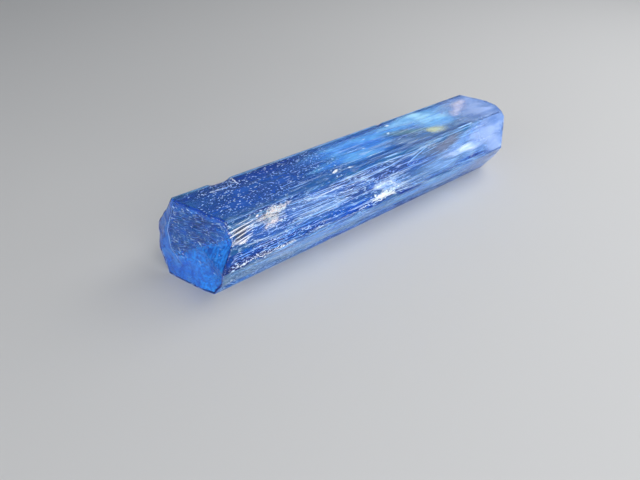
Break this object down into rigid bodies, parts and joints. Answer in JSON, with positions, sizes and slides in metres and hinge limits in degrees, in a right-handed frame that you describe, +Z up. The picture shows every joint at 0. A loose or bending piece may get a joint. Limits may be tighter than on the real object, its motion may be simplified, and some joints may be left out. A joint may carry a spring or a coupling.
{
  "type": "aquamarine crystal",
  "caption": "Loose blue aquamarine crystal: a long six-sided prism with a flat bevelled tip and a broken root end, lying on a prism face.",
  "frame": {"origin": "centre of the crystal's box, on the surface that its resting prism face lies on", "axes": "+X along the growth axis, from the broken root end to the flat tip; +Z up, out of the top prism face; -Y the front, where the widest faces show"},
  "size_m": [0.0176, 0.004, 0.0032],
  "materials": {
    "aquamarine": "clear blue crystal, glossy prism faces with fine lengthwise growth lines, etched broken end",
    "inclusion_veil": "whitish healed fractures, fluid films and growth tubes sealed in the crystal",
    "iron_stain": "thin yellowish iron film sealed near the tip",
    "smoky_cloud": "grey-brown wisps of fine dust sealed near the tip"
  },
  "bodies": {
    "root": {"crystal": "aquamarine"}
  },
  "joints": []
}
